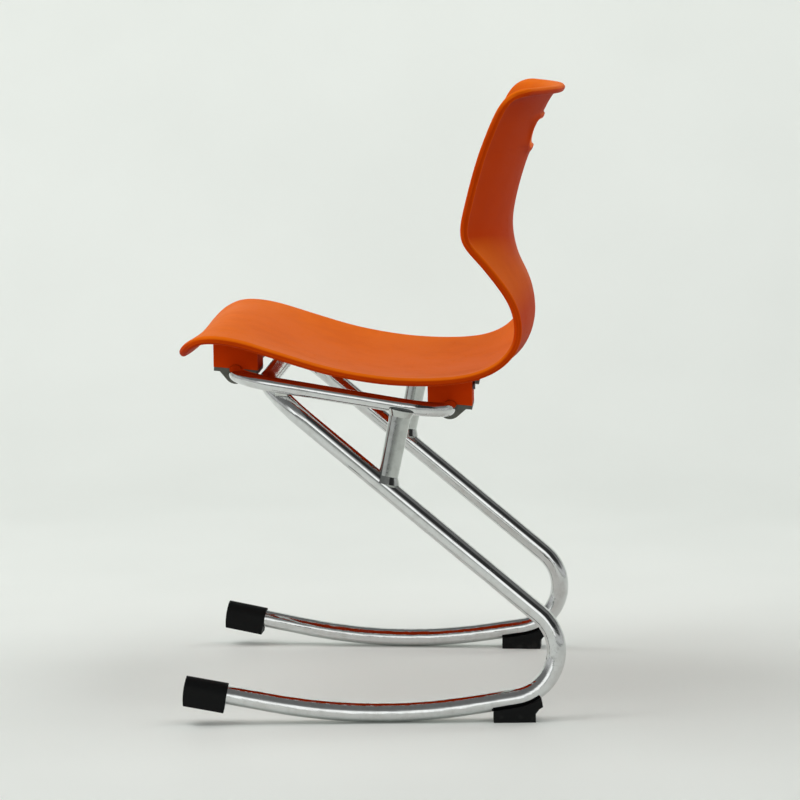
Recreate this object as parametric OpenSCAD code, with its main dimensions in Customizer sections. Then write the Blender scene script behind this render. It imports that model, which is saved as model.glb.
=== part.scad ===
// Rocking school chair: a one-piece plastic shell on a chromed tube frame.
// The sitter faces -Y, the width runs along X and the floor is the plane z = 0.

/* [Shell] */
// Width of the seat at its widest
shell_w = 434; // [380:1:500]
// Depth from the front lip to the rearmost point of the top edge
shell_d = 449; // [400:1:520]
// Height from the lowest point of the seat to the top edge
shell_h = 336; // [300:1:420]
// Height of the lowest point of the seat above the floor
seat_low_z = 384; // [378:1:400]
// Thickness of the moulded sheet
shell_t = 5; // [4:0.5:7]
// Thickness of the rolled rim
rim_t = 10; // [8:0.5:14]
// Corner radius of the front edge seen from above
front_corner_r = 66; // [50:1:95]
// Corner radius of the top edge seen from the front
top_corner_r = 30; // [24:1:50]

/* [Hand hole] */
// Width of the hand hole
hole_w = 140; // [90:1:160]
// Height of the hand hole along the back
hole_h = 34; // [26:1:40]
// Width of the raised lip round the hole
lip_w = 6; // [4:0.5:9]
// Height of the raised lip behind the back
lip_h = 2.5; // [1:0.5:4]

/* [Leg frame] */
// Outer diameter of the leg and rocker tube
leg_d = 22; // [20:0.5:24]
// Wall of the tubes
tube_wall = 2; // [1.2:0.1:3]
// Spacing of the two legs from centre to centre
leg_spacing = 388; // [360:1:420]
// Distance of the rocker's lowest point behind the middle of the chair
rocker_low = 13.9; // [5:0.1:25]
// Radius of the rocker curve, on the centre line
rocker_r = 680; // [600:5:800]
// Slope of the straight front end of the rocker
rocker_front_slope = 11; // [9:0.5:13]
// Slope of the rocker where it enters the rear bend
rocker_rear_slope = 9; // [7:0.5:11]
// Outward turn of each rocker
rocker_splay = 3; // [0:0.5:5]
// Radius of the rear bend, on the centre line
rear_bend_r = 55; // [45:1:62]
// Slope of the leg between the rear bend and the ring
leg_slope = 40.3; // [38:0.1:43]
// Radius of the bend between a leg and the cross bar
top_bend_r = 60; // [50:1:66]
// Gap between the front clamps and the cross bar
cross_gap = 0.5; // [0.3:0.1:4]

/* [Seat ring] */
// Outer diameter of the ring tube
ring_d = 17; // [15:0.5:18]
// Length of the ring along its slope, between the centres of its end bars
ring_len = 249.6; // [240:0.1:260]
// Corner radius of the ring, on the centre line
ring_corner_r = 50; // [44:1:54]
// Slope of the ring down to the rear
ring_slope = 9.7; // [8:0.1:11]
// Running height of the ring's front bar centre above the floor
ring_front_z = 395.5; // [392:0.1:402]
// Distance from the shell's front lip back to the ring's front bar
ring_inset = 67.4; // [60:0.1:74]

/* [Posts] */
// Outer diameter of the two posts at the top
post_d = 25; // [20:0.5:28]
// Outer diameter of the posts at the foot
post_foot_d = 22; // [18:0.5:25]
// Place of the post's top along the ring rail, from the front bar
post_along = 197; // [170:1:215]
// Forward lean of the posts
post_lean = 11.8; // [6:0.1:16]
// Leg of the weld fillet at each end of a post
weld_leg = 3.5; // [2:0.5:5]
// Length of the weld between the ring and the bend of a leg
ring_weld_len = 14; // [8:1:16]

/* [Mounting blocks and clamps] */
// Width of a mounting block
block_w = 60; // [45:1:70]
// Length of a mounting block from front to rear
block_len = 51; // [45:0.5:53]
// Slope of the block's underside
block_slope = 5; // [3:0.5:7]
// Height of the block's underside above the bar's centre
block_rise = 4; // [3:0.5:5]
// Thickness of the clamp's flange
flange_t = 4.5; // [3:0.5:5]
// Wall of the clamp under the bar
clamp_wall = 5; // [3:0.5:6]
// Thickness of the two end ribs of a clamp
rib_t = 6; // [4:0.5:10]
// Diameter of the clamp screws
screw_d = 5; // [4:0.5:6]

/* [Caps and feet] */
// Length of a front cap
cap_len = 50; // [40:1:60]
// Wall of the cap above and beside the tube
cap_wall = 2.5; // [2:0.5:5]
// Thickness of the cap's sole under the tube
cap_sole = 8; // [5:0.5:10]
// Distance from the middle of the chair to the front face of a cap
cap_front = 215.9; // [200:0.1:220]
// Length of a rear foot's sole
foot_len = 48; // [40:1:52]
// Width of a rear foot
foot_w = 24; // [20:1:28]
// Distance from the front edge of a foot to the start of the rear bend
foot_lead = 25.8; // [15:0.1:30]

/* [Hidden] */
$fn = 64;

// Clearance between pieces that are pushed together, and overrun of cuts
fit = 0.15;
seat_gap = 0.3;
over = 1;

// Colours of the real materials
orange = [0.80, 0.27, 0.06];
chrome = [0.80, 0.82, 0.83];
black = [0.08, 0.08, 0.08];
grey = [0.34, 0.36, 0.32];
zinc = [0.55, 0.56, 0.55];

// Shell form: one row per station from the front lip to the top edge. Each row holds the
// depth and height of the centre line, the depth and height of the side edge, and the half
// width, as shares of shell_d, shell_h and half of shell_w.
station_shares = [
    [-0.496, 0.091, -0.491, 0.121, 0.965],
    [-0.452, 0.145, -0.455, 0.160, 0.972],
    [-0.398, 0.181, -0.404, 0.181, 0.985],
    [-0.330, 0.167, -0.323, 0.170, 0.995],
    [-0.212, 0.095, -0.212, 0.125, 1.000],
    [-0.085, 0.036, -0.089, 0.076, 1.000],
    [0.056, 0.005, 0.049, 0.043, 0.995],
    [0.189, 0.002, 0.178, 0.036, 0.965],
    [0.300, 0.024, 0.271, 0.051, 0.925],
    [0.374, 0.082, 0.334, 0.094, 0.900],
    [0.404, 0.176, 0.367, 0.167, 0.895],
    [0.395, 0.286, 0.354, 0.274, 0.905],
    [0.361, 0.393, 0.291, 0.393, 0.920],
    [0.347, 0.512, 0.232, 0.496, 0.930],
    [0.365, 0.643, 0.250, 0.643, 0.940],
    [0.397, 0.777, 0.279, 0.777, 0.945],
    [0.430, 0.899, 0.318, 0.905, 0.940],
    [0.462, 0.972, 0.350, 0.975, 0.935],
    [0.490, 0.998, 0.382, 1.001, 0.930],
];
last_station = len(station_shares) - 1;

// Smooth curve through four neighbouring rows, with u from 0 to 1 between b and c
function blend(a, b, c, d, u) =
    0.5 * (2 * b + (c - a) * u + (2 * a - 5 * b + 4 * c - d) * u * u
        + (3 * b - a - 3 * c + d) * u * u * u);
function row_at(k) =
    k < 0 ? 2 * station_shares[0] - station_shares[1]
    : k > last_station ? 2 * station_shares[last_station] - station_shares[last_station - 1]
    : station_shares[k];
function station(t) =
    let (k = min(floor(t), last_station - 1))
    blend(row_at(k - 1), row_at(k), row_at(k + 1), row_at(k + 2), t - k);

// Sitter's side of the shell at a distance x from the centre line, set forward by a share of
// the rim so that the shell lies evenly about the middle of the chair
set_share = 0.164;
function skin(x, t) =
    let (s = station(t), w = s[4] * shell_w / 2, g = (x / w) * (x / w))
    [x,
     shell_d * (s[0] + (s[2] - s[0]) * g) - set_share * rim_t,
     seat_low_z + shell_h * (s[1] + (s[3] - s[1]) * g)];

function unit(v) = v / norm(v);
probe_share = 0.02;
probe_x = shell_t / 2;
function normal(x, t) =
    let (along = skin(x, t + probe_share) - skin(x, t - probe_share),
        across = skin(x + probe_x, t) - skin(x - probe_x, t))
    unit(cross(across, along));

// Length along the centre line between two stations
arc_steps = 8;
function span_len(t0, t1) =
    let (step = (t1 - t0) / arc_steps)
    add([for (i = [0 : arc_steps - 1])
        norm(skin(0, t0 + (i + 1) * step) - skin(0, t0 + i * step))]);
function add(v, i = 0) = i == len(v) ? 0 : v[i] + add(v, i + 1);

// Rounded corners of the outline, front and top
zone_share = 0.22;
function end_gap(t) = t < last_station / 2 ? span_len(0, t) : span_len(t, last_station);
function corner_r(t) = t < last_station / 2 ? front_corner_r : top_corner_r;
function near_end(t) = t < zone_share * last_station || t > (1 - zone_share) * last_station;
function half_width(t) =
    let (w = station(t)[4] * shell_w / 2)
    !near_end(t) ? w
    : let (d = end_gap(t), r = corner_r(t))
        d >= r ? w : w - r + sqrt(max(0, r * r - (r - d) * (r - d)));

// Distance of a point of the shell from the outline
function edge_gap(x, t, w_here) =
    let (w = station(t)[4] * shell_w / 2)
    !near_end(t) ? w_here - abs(x)
    : let (d = end_gap(t), r = corner_r(t), cx = abs(x) - (w - r))
        d < r && cx > 0 ? r - norm([cx, r - d]) : min(w - abs(x), d);

// Hand hole: a slot with round ends. Its middle lies at a share of the way through the stations.
hole_share = 0.859;
hole_station = hole_share * last_station;
hole_pace = span_len(hole_station - 0.5, hole_station + 0.5);
hole_low_station = hole_station - hole_h / hole_pace / 2;
hole_high_station = hole_station + hole_h / hole_pace / 2;
hole_end_r = hole_h / 2;
hole_flat = hole_w / 2 - hole_end_r;
function hole_pos(t) = hole_pace * (t - hole_low_station);
function hole_half(t) =
    let (d = min(max(hole_pos(t), 0), hole_h) - hole_end_r)
    hole_flat + sqrt(max(0, hole_end_r * hole_end_r - d * d));
function hole_gap(x, t) =
    norm([max(abs(x) - hole_flat, 0), hole_pos(t) - hole_end_r]) - hole_end_r;

// Rounded rim: how far the sheet reaches from the sitter's face, front and rear
rim_r = rim_t / 2;
lip_foot_share = 1.3;
least_gap_share = 0.06;
function rim_round(e) =
    let (k = min(max(e / rim_r, least_gap_share), 1)) rim_r * (1 - sqrt(1 - (1 - k) * (1 - k)));
function smooth(k) = let (c = min(max(k, 0), 1)) c * c * (3 - 2 * c);
function front_drop(e) = e < rim_r ? rim_round(e) : 0;
function rear_drop(e, h) =
    e < rim_r ? rim_t - rim_round(e)
    : max(shell_t + (rim_t - shell_t) * smooth(2 - e / rim_r),
        shell_t + lip_h * smooth((lip_foot_share - h / lip_w) / (lip_foot_share - 1)));

// Stations of the mesh rows: fine at both ends and round the hand hole
rows_per_station = 3;
plain_last_share = 0.80;
upper_last_share = 0.95;
plain_last_row = floor(plain_last_share * last_station * rows_per_station);
upper_last_station = upper_last_share * last_station;
end_shares = [0, 0.03, 0.09, 0.21, 0.45, 0.70];
top_shares = [0.60, 0.42, 0.28, 0.12, 0.04, 0];
hole_shares = [0, 0.06, 0.2, 0.5, 0.8, 0.94, 1];
lip_shares = [lip_foot_share, 1];
upper_shares = [0.33, 0.66, 1];
lip_step = lip_w / hole_pace;
lip_last_station = hole_high_station + lip_shares[0] * lip_step;
plain_rows = [for (i = [rows_per_station : plain_last_row]) i / rows_per_station];
rows = concat(
    end_shares,
    plain_rows,
    [for (k = lip_shares) hole_low_station - k * lip_step],
    [for (k = hole_shares) hole_low_station + k * (hole_high_station - hole_low_station)],
    [for (i = [len(lip_shares) - 1 : -1 : 0]) hole_high_station + lip_shares[i] * lip_step],
    [for (k = upper_shares) lip_last_station + k * (upper_last_station - lip_last_station)],
    [for (k = top_shares) last_station - k]);
hole_first_row = len(end_shares) + len(plain_rows) + len(lip_shares);
hole_last_row = hole_first_row + len(hole_shares) - 1;

// Columns of one half, from the side edge to the centre line
rim_shares = [0, 0.12, 0.4, 1, 1.6, 2.4];
fill_shares = [0.28, 0.56, 0.82];
function half_columns(t) =
    let (w = half_width(t), a = w - rim_shares[len(rim_shares) - 1] * rim_r, h = hole_half(t),
        b = h + lip_foot_share * lip_w)
    concat(
        [for (k = rim_shares) w - k * rim_r],
        [for (k = fill_shares) a + (b - a) * k],
        [b, h + lip_w, h, h / 2]);
side_columns = len(rim_shares) + len(fill_shares) + 4;
hole_first_col = side_columns - 2;
hole_last_col = side_columns + 2;
function columns(t) =
    let (half = half_columns(t))
    concat([for (x = half) -x], [0], [for (i = [len(half) - 1 : -1 : 0]) half[i]]);

shell_rows = [for (t = rows)
    let (w = half_width(t))
    [for (x = columns(t))
        let (e = edge_gap(x, t, w), n = normal(x, t), p = skin(x, t))
        [p - n * front_drop(e), p - n * rear_drop(e, hole_gap(x, t))]]];

row_count = len(rows);
col_count = 2 * side_columns + 1;
function in_hole(i, j) =
    i >= hole_first_row && i < hole_last_row && j >= hole_first_col && j < hole_last_col;
function solid_cell(i, j) =
    i >= 0 && i < row_count - 1 && j >= 0 && j < col_count - 1 && !in_hole(i, j);
function vertex(i, j, side) = (i * col_count + j) * 2 + side;
function quad(a, b, c, d) = [[a, b, c], [a, c, d]];

module shell_body() {
    points = [for (r = shell_rows) for (pair = r) for (p = pair) p];
    cells = [for (i = [0 : row_count - 2]) for (j = [0 : col_count - 2])
        if (solid_cell(i, j)) [i, j]];
    faces = [for (c = cells)
        let (i = c[0], j = c[1])
        for (f = concat(
            quad(vertex(i, j, 0), vertex(i + 1, j, 0), vertex(i + 1, j + 1, 0), vertex(i, j + 1, 0)),
            quad(vertex(i, j, 1), vertex(i, j + 1, 1), vertex(i + 1, j + 1, 1), vertex(i + 1, j, 1)),
            solid_cell(i - 1, j) ? []
                : quad(vertex(i, j, 0), vertex(i, j + 1, 0), vertex(i, j + 1, 1), vertex(i, j, 1)),
            solid_cell(i + 1, j) ? []
                : quad(vertex(i + 1, j + 1, 0), vertex(i + 1, j, 0), vertex(i + 1, j, 1),
                    vertex(i + 1, j + 1, 1)),
            solid_cell(i, j - 1) ? []
                : quad(vertex(i + 1, j, 0), vertex(i, j, 0), vertex(i, j, 1), vertex(i + 1, j, 1)),
            solid_cell(i, j + 1) ? []
                : quad(vertex(i, j + 1, 0), vertex(i + 1, j + 1, 0), vertex(i + 1, j + 1, 1),
                    vertex(i, j + 1, 1))))
        f];
    polyhedron(points = points, faces = faces, convexity = 8);
}

module seat_shell() {
    color(orange) shell_body();
}

// Tubes: a run is a straight length between two points, a bend is an arc at a corner
leg_r = leg_d / 2;
ring_r = ring_d / 2;
leg_x = leg_spacing / 2;

module tube_section(r_out, r_in) {
    difference() {
        circle(r_out);
        if (r_in > 0) circle(r_in);
    }
}

module in_frame(x_axis, y_axis, z_axis, place) {
    multmatrix([for (i = [0 : 2]) [x_axis[i], y_axis[i], z_axis[i], place[i]]]) children();
}

module tube_run(p, q, r_out, r_in = 0, mark = [1, 0, 0]) {
    v = unit(q - p);
    flat = unit(mark - v * (mark * v));
    in_frame(flat, cross(v, flat), v, p) linear_extrude(norm(q - p)) tube_section(r_out, r_in);
}

function bend_turn(path, i) =
    let (u = unit(path[i] - path[i - 1]), w = unit(path[i + 1] - path[i])) acos(u * w);
function bend_cut(path, radii, i) =
    i == 0 || i == len(path) - 1 ? 0 : radii[i] * tan(bend_turn(path, i) / 2);
function run_start(path, radii, i) =
    path[i] + unit(path[i + 1] - path[i]) * bend_cut(path, radii, i);
function run_end(path, radii, i) =
    path[i + 1] - unit(path[i + 1] - path[i]) * bend_cut(path, radii, i + 1);

// A mark on the tube's side, carried from its first run through every bend, lines up the
// sections of runs and bends
function turned(v, axis, a) =
    v * cos(a) + cross(axis, v) * sin(a) + axis * (axis * v) * (1 - cos(a));
function bend_axis(path, i) = unit(cross(path[i] - path[i - 1], path[i + 1] - path[i]));
function mark_at(path, i) =
    i == 0 ? bend_axis(path, 1) : turned(mark_at(path, i - 1), bend_axis(path, i), bend_turn(path, i));

// The wall is a hair thicker in the bends, and each run reaches a little way into them
seam = 0.05;
lap = 0.5;
module tube_bend(path, radii, i, r_out, r_in = 0) {
    u = unit(path[i] - path[i - 1]);
    axis = bend_axis(path, i);
    outward = cross(u, axis);
    centre = path[i] - u * bend_cut(path, radii, i) - outward * radii[i];
    mark = mark_at(path, i - 1);
    in_frame(outward, u, axis, centre)
        rotate_extrude(angle = bend_turn(path, i))
            translate([radii[i], 0])
                rotate(atan2(mark * axis, mark * outward))
                    tube_section(r_out + seam, r_in > 0 ? r_in - seam : 0);
}

module tube_leg(path, radii, i, r_out, r_in = 0) {
    u = unit(path[i + 1] - path[i]);
    head = i == 0 ? 0 : lap;
    tail = i == len(path) - 2 ? 0 : lap;
    tube_run(run_start(path, radii, i) - u * head, run_end(path, radii, i) + u * tail,
        r_out, r_in, mark_at(path, i));
}

module tube_path(path, radii, r_out, r_in = 0) {
    for (i = [0 : len(path) - 2]) tube_leg(path, radii, i, r_out, r_in);
    for (i = [1 : len(path) - 2]) tube_bend(path, radii, i, r_out, r_in);
}

// Leg frame in the plane of one side: y to the rear and z up, before the rocker is splayed
ring_front = shell_d / 2 - ring_inset;
cross_y = block_len / 2 + leg_r + cross_gap - ring_front;
rear_tangent = [rocker_low + rocker_r * sin(rocker_rear_slope),
    leg_r + seam + rocker_r * (1 - cos(rocker_rear_slope))];
rocker_cut = rocker_r * tan((rocker_front_slope + rocker_rear_slope) / 2);
rocker_corner = rear_tangent - rocker_cut * [cos(rocker_rear_slope), sin(rocker_rear_slope)];

// The bend at the top of a leg passes under the ring rail. Its turn at the point nearest the
// rail, where the two tubes are welded, sets the height of the cross bar.
rise_share = sin(leg_slope - ring_slope);
function rail_reach(turn) =
    top_bend_r * (1 - cos(turn)) * norm([1, tan(turn) / rise_share]);
function touch_turn(low, high, steps) =
    let (mid = (low + high) / 2)
    steps == 0 ? mid
    : rail_reach(mid) > leg_r + ring_r + fit ? touch_turn(low, mid, steps - 1)
    : touch_turn(mid, high, steps - 1);
most_turn = 80;
search_steps = 24;
weld_turn = touch_turn(0, most_turn, search_steps);
bar_drop = top_bend_r * ((1 - cos(weld_turn)) * tan(weld_turn) / rise_share
    - rise_share * (1 - sin(weld_turn)));
cross_z = ring_front_z - (cross_y + ring_front) * tan(ring_slope) - bar_drop / cos(ring_slope);
rear_corner_y = (cross_z - rear_tangent[1] + cross_y * tan(leg_slope)
    + rear_tangent[0] * tan(rocker_rear_slope)) / (tan(leg_slope) + tan(rocker_rear_slope));
rear_corner = [rear_corner_y,
    rear_tangent[1] + (rear_corner_y - rear_tangent[0]) * tan(rocker_rear_slope)];
tip_y = -cap_front + cap_wall;
tip = rocker_corner + (rocker_corner[0] - tip_y)
    * [-1, tan(rocker_front_slope)];

// Place a point or a piece of one rocker in the chair, side = 1 for the right and -1 for the left
function splayed(p) =
    [leg_x + (rear_corner[0] - p[0]) * sin(rocker_splay),
     rear_corner[0] + (p[0] - rear_corner[0]) * cos(rocker_splay),
     p[1]];
function flip(p) = [-p[0], p[1], p[2]];
module on_side(side) {
    mirror([side < 0 ? 1 : 0, 0, 0]) children();
}
module in_rocker_plane() {
    translate([leg_x, rear_corner[0], 0])
        rotate([0, 0, rocker_splay])
            translate([0, -rear_corner[0], 0]) children();
}

half_path = [splayed(tip), splayed(rocker_corner), splayed(rear_corner), [leg_x, cross_y, cross_z]];
leg_path = concat(half_path, [for (i = [3 : -1 : 0]) flip(half_path[i])]);
leg_radii = [0, rocker_r, rear_bend_r, top_bend_r, top_bend_r, rear_bend_r, rocker_r, 0];

module leg_frame() {
    color(chrome)
        difference() {
            tube_path(leg_path, leg_radii, leg_r, leg_r - tube_wall);
            for (s = [-1, 1]) on_side(s) foot_screw_hole();
        }
}

// Seat ring: a closed loop of thinner tube that slopes down to the rear
ring_y0 = -ring_front;
ring_y1 = ring_y0 + ring_len * cos(ring_slope);
ring_z1 = ring_front_z - ring_len * sin(ring_slope);
ring_corners = [
    [leg_x, ring_y0, ring_front_z], [leg_x, ring_y1, ring_z1],
    [-leg_x, ring_y1, ring_z1], [-leg_x, ring_y0, ring_front_z]];
ring_loop = concat(ring_corners, [ring_corners[0], ring_corners[1], ring_corners[2]]);
ring_radii = [for (p = ring_loop) ring_corner_r];

module seat_ring() {
    color(chrome)
        for (i = [1 : 4]) {
            tube_leg(ring_loop, ring_radii, i, ring_r, ring_r - tube_wall);
            tube_bend(ring_loop, ring_radii, i, ring_r, ring_r - tube_wall);
        }
}

function rail_point(along) =
    [leg_x, ring_y0 + along * cos(ring_slope), ring_front_z - along * sin(ring_slope)];

// Room for the ring's side rail
module rail_space() {
    tube_run(rail_point(ring_corner_r - lap), rail_point(ring_len - ring_corner_r + lap), ring_r + fit);
}

// Posts: the top sits under the ring rail and the foot stands on the leg. The tube narrows
// downward, and the weld closes its top beside the thinner rail.
post_top = rail_point(post_along);
leg_dir = unit(half_path[3] - half_path[2]);
post_dir = [0, -sin(post_lean), -cos(post_lean)];
post_drop = cross(leg_dir, half_path[2] - post_top)[0] / cross(leg_dir, post_dir)[0];
post_foot = post_top + post_dir * post_drop;

module post_solid() {
    top_skip = ring_r / 2;
    foot_skip = leg_r / 2;
    a = post_top + post_dir * top_skip;
    b = post_foot - post_dir * foot_skip;
    v = b - a;
    translate(a)
        rotate([0, acos(v[2] / norm(v)), atan2(v[1], v[0])])
            difference() {
                union() {
                    cylinder(h = norm(v), r1 = post_d / 2, r2 = post_foot_d / 2);
                    cylinder(h = top_skip + weld_leg, r1 = post_d / 2 + weld_leg, r2 = post_d / 2);
                    translate([0, 0, norm(v) - foot_skip - weld_leg])
                        cylinder(h = foot_skip + weld_leg, r1 = post_foot_d / 2,
                            r2 = post_foot_d / 2 + weld_leg);
                }
                translate([0, 0, top_skip + 2 * tube_wall])
                    cylinder(h = norm(v), r = post_foot_d / 2 - tube_wall);
            }
}

module post(side) {
    color(chrome)
        on_side(side)
            difference() {
                post_solid();
                rail_space();
                tube_bend(ring_loop, ring_radii, 1, ring_r + fit);
                tube_leg(leg_path, leg_radii, 2, leg_r + fit);
            }
}
module left_post() { post(-1); }
module right_post() { post(1); }

// Weld between the ring rail and the bend of the leg that passes under it
weld_r_share = 0.8;
weld_r = weld_r_share * ring_r;
bend_centre = [leg_x - top_bend_r, cross_y, cross_z] - leg_dir * top_bend_r;
bend_point = bend_centre + top_bend_r * ([cos(weld_turn), 0, 0] + leg_dir * sin(weld_turn));
rail_along_weld = (bend_point[1] - ring_y0) * cos(ring_slope)
    - (bend_point[2] - ring_front_z) * sin(ring_slope);
weld_mid = (rail_point(rail_along_weld) * leg_r + bend_point * ring_r) / (leg_r + ring_r);
rail_dir = unit(rail_point(ring_len) - rail_point(0));

module ring_weld(side) {
    $fn = 240;
    color(chrome)
        on_side(side)
            difference() {
                tube_run(weld_mid - rail_dir * ring_weld_len / 2,
                    weld_mid + rail_dir * ring_weld_len / 2, weld_r);
                rail_space();
                tube_bend(leg_path, leg_radii, 3, leg_r + fit);
                tube_leg(leg_path, leg_radii, 2, leg_r + fit);
            }
}
module left_ring_weld() { ring_weld(-1); }
module right_ring_weld() { ring_weld(1); }

// Mounting blocks: the underside carries a half-round channel for the bar, and the top
// follows the underside of the seat
block_x = leg_x - ring_corner_r - block_w / 2;
channel_r = ring_r + fit;
screw_edge_share = 1.35;
bite_share = 2.6;
head_h_share = 0.6;
head_r_share = 0.95;
screw_y = block_len / 2 - screw_edge_share * screw_d;
screw_bite = bite_share * screw_d;
head_h = head_h_share * screw_d;
head_r = head_r_share * screw_d;

under_first_share = 0.05;
under_last_share = 0.5;
under_count = 27;
under_stations = [for (i = [0 : under_count])
    last_station * (under_first_share + (under_last_share - under_first_share) * i / under_count)];
function under(x, t) = skin(x, t) - normal(x, t) * shell_t;
function underside(x, y) =
    lookup(y, [for (t = under_stations) let (p = under(x, t)) [p[1], p[2]]]);
function bar_y(rear) = rear ? ring_y1 : ring_y0;
function bar_z(rear) = rear ? ring_z1 : ring_front_z;

block_cells = 6;
module block_body(rear) {
    n = block_cells;
    xs = [for (i = [0 : n]) block_x - block_w / 2 + block_w * i / n];
    ys = [for (i = [0 : n]) bar_y(rear) - block_len / 2 + block_len * i / n];
    top = [for (x = xs) for (y = ys) [x, y, underside(x, y) - seat_gap]];
    base = [for (x = xs) for (y = ys)
        [x, y, bar_z(rear) + block_rise - (y - bar_y(rear)) * tan(block_slope)]];
    size = (n + 1) * (n + 1);
    function at(i, j) = i * (n + 1) + j;
    faces = concat(
        [for (i = [0 : n - 1]) for (j = [0 : n - 1])
            for (f = quad(at(i, j), at(i, j + 1), at(i + 1, j + 1), at(i + 1, j))) f],
        [for (i = [0 : n - 1]) for (j = [0 : n - 1])
            for (f = quad(size + at(i, j), size + at(i + 1, j), size + at(i + 1, j + 1),
                size + at(i, j + 1))) f],
        [for (i = [0 : n - 1]) for (f = concat(
            quad(at(i, 0), at(i + 1, 0), size + at(i + 1, 0), size + at(i, 0)),
            quad(at(i + 1, n), at(i, n), size + at(i, n), size + at(i + 1, n)),
            quad(at(0, i + 1), at(0, i), size + at(0, i), size + at(0, i + 1)),
            quad(at(n, i), at(n, i + 1), size + at(n, i + 1), size + at(n, i)))) f]);
    polyhedron(points = concat(top, base), faces = faces, convexity = 4);
}

module at_bar(rear, side) {
    on_side(side)
        translate([block_x, bar_y(rear), bar_z(rear)])
            rotate([-block_slope, 0, 0]) children();
}

module mount_block(rear, side) {
    color(orange)
        difference() {
            on_side(side) block_body(rear);
            at_bar(rear, side) {
                rotate([0, 90, 0]) cylinder(h = block_w + 2 * over, r = channel_r, center = true);
                for (s = [-1, 1])
                    translate([0, s * screw_y, 0]) cylinder(h = block_rise + screw_bite, r = screw_d / 2);
            }
            if (rear) block_screw_place(side) cylinder(h = screw_bite + over, r = screw_d / 2);
        }
}
module front_left_block() { mount_block(false, -1); }
module front_right_block() { mount_block(false, 1); }
module rear_left_block() { mount_block(true, -1); }
module rear_right_block() { mount_block(true, 1); }

// Clamps: a flange against the block, a saddle that holds the bar from below, and a rib at
// each end that carries the flange
clamp_w = block_w - seat_gap;
saddle_r = channel_r + clamp_wall;
rib_half = saddle_r + clamp_wall;
function arc(r, a0, a1, n) =
    [for (i = [0 : n]) let (a = a0 + (a1 - a0) * i / n) r * [cos(a), sin(a)]];
saddle_angle = 42;

module saddle_profile() {
    difference() {
        union() {
            translate([-block_len / 2, block_rise - flange_t])
                square([block_len, flange_t - fit]);
            intersection() {
                circle(saddle_r);
                translate([-saddle_r, -saddle_r])
                    square([2 * saddle_r, saddle_r + block_rise - flange_t + fit]);
            }
        }
        circle(channel_r);
    }
}

module rib_profile() {
    difference() {
        polygon(concat(
            [[rib_half, block_rise - flange_t + fit], [-rib_half, block_rise - flange_t + fit]],
            arc(saddle_r, 180 + saddle_angle, 360 - saddle_angle, 8)));
        circle(channel_r);
    }
}

module clamp(rear, side) {
    color(grey)
        at_bar(rear, side)
            difference() {
                rotate([90, 0, 90])
                    translate([0, 0, -clamp_w / 2]) {
                        linear_extrude(clamp_w) saddle_profile();
                        for (x = [0, clamp_w - rib_t])
                            translate([0, 0, x]) linear_extrude(rib_t) rib_profile();
                    }
                for (s = [-1, 1])
                    translate([0, s * screw_y, block_rise - flange_t - over])
                        cylinder(h = flange_t + 2 * over, r = screw_d / 2 + fit);
            }
}
module front_left_clamp() { clamp(false, -1); }
module front_right_clamp() { clamp(false, 1); }
module rear_left_clamp() { clamp(true, -1); }
module rear_right_clamp() { clamp(true, 1); }

// Pan-head screw with a hexagon socket: its head lies below z = 0 and its shank points upward
socket_h_share = 0.5;
socket_r_share = 0.45;
module screw(bite) {
    translate([0, 0, -head_h])
        difference() {
            cylinder(h = head_h, r = head_r);
            translate([0, 0, -over])
                cylinder(h = over + socket_h_share * head_h, r = socket_r_share * head_r, $fn = 6);
        }
    cylinder(h = bite, r = screw_d / 2 - fit);
}

module clamp_screws() {
    color(zinc)
        for (rear = [false, true]) for (side = [-1, 1]) for (s = [-1, 1])
            at_bar(rear, side)
                translate([0, s * screw_y, block_rise - flange_t])
                    screw(flange_t + screw_bite - 2 * fit);
}

// One screw enters the rear face of each rear block, near the top
drop_share = 2.2;
block_screw_drop = drop_share * head_r;
block_screw_x = block_x + block_w / 4;
module block_screw_place(side) {
    y = ring_y1 + block_len / 2;
    on_side(side)
        translate([block_screw_x, y, underside(block_screw_x, y) - block_screw_drop])
            rotate([90, 0, 0]) translate([0, 0, -fit]) children();
}
module block_screws() {
    color(black)
        for (side = [-1, 1]) block_screw_place(side) screw(screw_bite);
}

// Front caps: sleeves with a flat sole, pushed on the ends of the rockers
cap_r = leg_r + cap_wall;
cap_low = leg_r + cap_sole;
module cap_profile() {
    circle(cap_r);
    translate([-cap_low, -cap_r]) square([cap_low, 2 * cap_r]);
}
dome_share = 6;
dome_r = dome_share * cap_r;
module cap(side) {
    color(black)
        on_side(side) in_rocker_plane()
            translate([0, tip[0], tip[1]])
                rotate([90 - rocker_front_slope, 0, 0]) rotate([0, 0, 90])
                    difference() {
                        intersection() {
                            translate([0, 0, cap_wall - cap_len])
                                linear_extrude(cap_len) cap_profile();
                            translate([0, 0, cap_wall - dome_r]) sphere(dome_r);
                        }
                        translate([0, 0, cap_wall - cap_len - over])
                            cylinder(h = cap_len - cap_wall + over, r = leg_r + fit);
                    }
}
module left_cap() { cap(-1); }
module right_cap() { cap(1); }

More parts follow.
